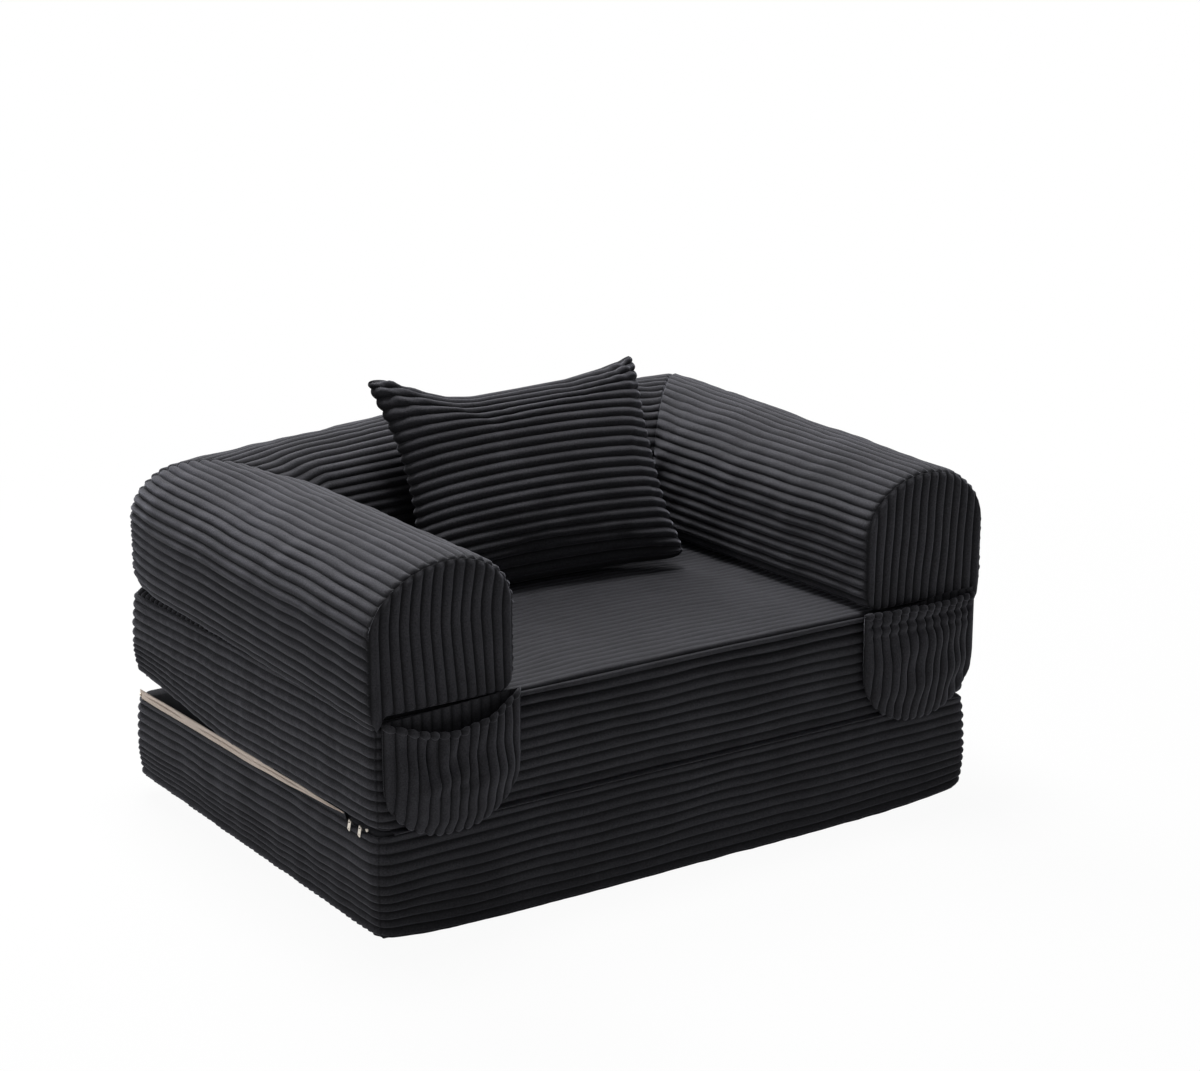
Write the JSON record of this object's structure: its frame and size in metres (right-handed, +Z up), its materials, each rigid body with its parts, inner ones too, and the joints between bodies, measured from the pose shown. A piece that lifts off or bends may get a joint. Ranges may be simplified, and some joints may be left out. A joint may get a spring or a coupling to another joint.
{
  "type": "sofa bed",
  "caption": "Fold-out corduroy sofa bed: soft seat and base blocks hinged at the front, U-shaped bolster with hanging arm pockets, loose pillow.",
  "frame": {"origin": "middle of the sofa's box in plan, at the underside of the base block", "axes": "+X to the sitter's left as seen from the front (image right), +Y to the back, +Z up; the front faces -Y"},
  "size_m": [1.088, 0.8046, 0.6622],
  "materials": {
    "corduroy": "wide-rib velvet pile",
    "lining": "matt anti-slip weave",
    "foam": "open-cell foam",
    "hook_tape": "hook and loop",
    "zip_tape": "woven cream tape",
    "zip_metal": "satin silver"
  },
  "bodies": {
    "seat": {"seat_cover": "corduroy", "seat_foam": "foam", "seat_grip_panel": "lining", "seat_loop_tapes": "hook_tape", "fold_hinge_strip": "corduroy"},
    "base": {"base_cover": "corduroy", "base_foam": "foam", "base_grip_panel": "lining", "base_zip_tape": "zip_tape", "base_zip_coil": "zip_tape", "base_zip_stops": "zip_metal"},
    "bolster": {"bolster_cover_left": "corduroy", "bolster_cover_back": "corduroy", "bolster_cover_right": "corduroy", "bolster_foam_left": "foam", "bolster_foam_back": "foam", "bolster_foam_right": "foam", "bolster_end_panel_left": "corduroy", "bolster_end_panel_right": "corduroy", "bolster_hook_tapes": "hook_tape"},
    "pocket_left": {"pocket_backing_left": "corduroy", "pocket_pouch_left": "corduroy", "pocket_binding_left": "corduroy"},
    "pocket_right": {"pocket_backing_right": "corduroy", "pocket_pouch_right": "corduroy", "pocket_binding_right": "corduroy"},
    "pillow": {"pillow_cover": "corduroy", "pillow_filling": "foam"},
    "slider_front": {"zip_slider_front": "zip_metal"},
    "slider_rear": {"zip_slider_rear": "zip_metal"},
    "pull_front": {"zip_pull_front": "zip_metal"},
    "pull_rear": {"zip_pull_rear": "zip_metal"}
  },
  "joints": [
    {"name": "fold", "type": "hinge", "parent": "seat", "child": "base", "pos_m": [0, -0.3702, 0.1662], "axis": [-1, 0, 0], "range_deg": [0, 180]},
    {"name": "bolster_lift", "type": "slide", "parent": "seat", "child": "bolster", "axis": [0, 0, 1], "range_m": [0, 0.25]},
    {"name": "pocket_left_swing", "type": "hinge", "parent": "bolster", "child": "pocket_left", "pos_m": [0, -0.372, 0.3364], "axis": [-1, 0, 0], "range_deg": [0, 92]},
    {"name": "pocket_right_swing", "type": "hinge", "parent": "bolster", "child": "pocket_right", "pos_m": [0, -0.372, 0.3364], "axis": [-1, 0, 0], "range_deg": [0, 92]},
    {"name": "pillow_lift", "type": "slide", "parent": "bolster", "child": "pillow", "axis": [-0.1251, -0.89, 0.4384], "range_m": [0, 0.3]},
    {"name": "zip_front_slide", "type": "slide", "parent": "base", "child": "slider_front", "axis": [0, -1, 0.0026], "range_m": [0, 0.005]},
    {"name": "zip_rear_slide", "type": "slide", "parent": "base", "child": "slider_rear", "axis": [0, 1, -0.0026], "range_m": [0, 0.6]},
    {"name": "pull_front_swing", "type": "hinge", "parent": "slider_front", "child": "pull_front", "pos_m": [-0.53298, -0.32568, 0.16702], "axis": [-0.9877, -0.0004, -0.1564], "range_deg": [-10, 70]},
    {"name": "pull_rear_swing", "type": "hinge", "parent": "slider_rear", "child": "pull_rear", "pos_m": [-0.53298, -0.29768, 0.16694], "axis": [-0.9877, -0.0004, -0.1564], "range_deg": [-50, 10]}
  ],
  "couplings": [
    {"joint": "pocket_left_swing", "follows": "fold", "ratio": 0.51},
    {"joint": "pocket_right_swing", "follows": "fold", "ratio": 0.51}
  ]
}
